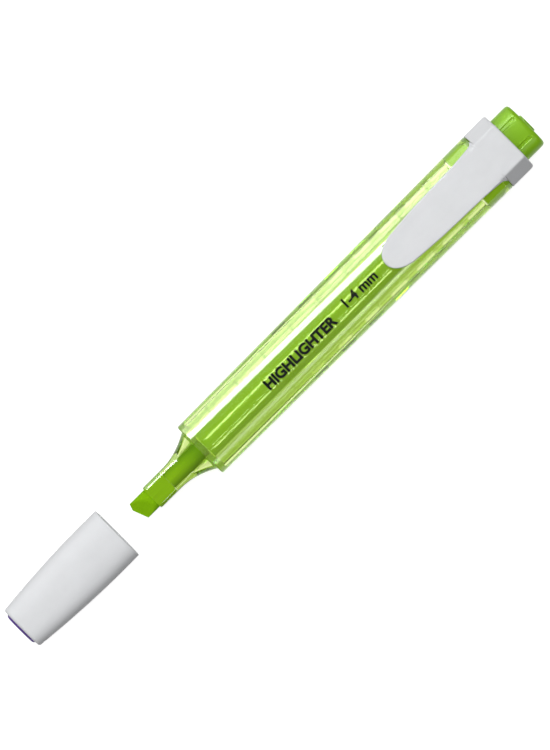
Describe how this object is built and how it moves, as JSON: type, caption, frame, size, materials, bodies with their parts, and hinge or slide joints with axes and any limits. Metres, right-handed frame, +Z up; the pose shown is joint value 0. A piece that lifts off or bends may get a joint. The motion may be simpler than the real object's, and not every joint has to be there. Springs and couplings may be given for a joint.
{
  "type": "highlighter",
  "caption": "Flat pocket highlighter with a see-through barrel, a chisel nib, a sprung pocket clip at the tail and a pull-off cap.",
  "frame": {"origin": "on the surface the pen lies on, under the middle of its length with the cap pulled off, on its centre line", "axes": "+X along the pen from the cap to the tail, +Z up through the clip's face, +Y across the flat barrel"},
  "size_m": [0.156, 0.0154, 0.0133],
  "materials": {
    "clear_green": "gloss",
    "inked_fibre": "matte",
    "clear_film": "gloss",
    "solid_green": "satin",
    "pale_grey": "satin",
    "seal_white": "satin",
    "violet": "satin"
  },
  "bodies": {
    "pen": {"barrel": "clear_green", "nib_holder": "clear_green", "nib": "inked_fibre", "ink_reservoir": "inked_fibre", "reservoir_film": "clear_film", "end_plug": "solid_green", "clip_collar": "pale_grey"},
    "clip": {"clip_tongue": "pale_grey"},
    "cap": {"cap_shell": "pale_grey", "cap_inner_seal": "seal_white", "cap_end_insert": "violet"}
  },
  "joints": [
    {"name": "cap_slide", "type": "slide", "parent": "pen", "child": "cap", "axis": [1, 0, 0], "range_m": [0, 0.0251]},
    {"name": "clip_flex", "type": "hinge", "parent": "pen", "child": "clip", "pos_m": [0.06588, 0, 0.01257], "axis": [0, 1, 0], "range_deg": [0, 6], "stiffness_Nm_per_rad": 1}
  ]
}
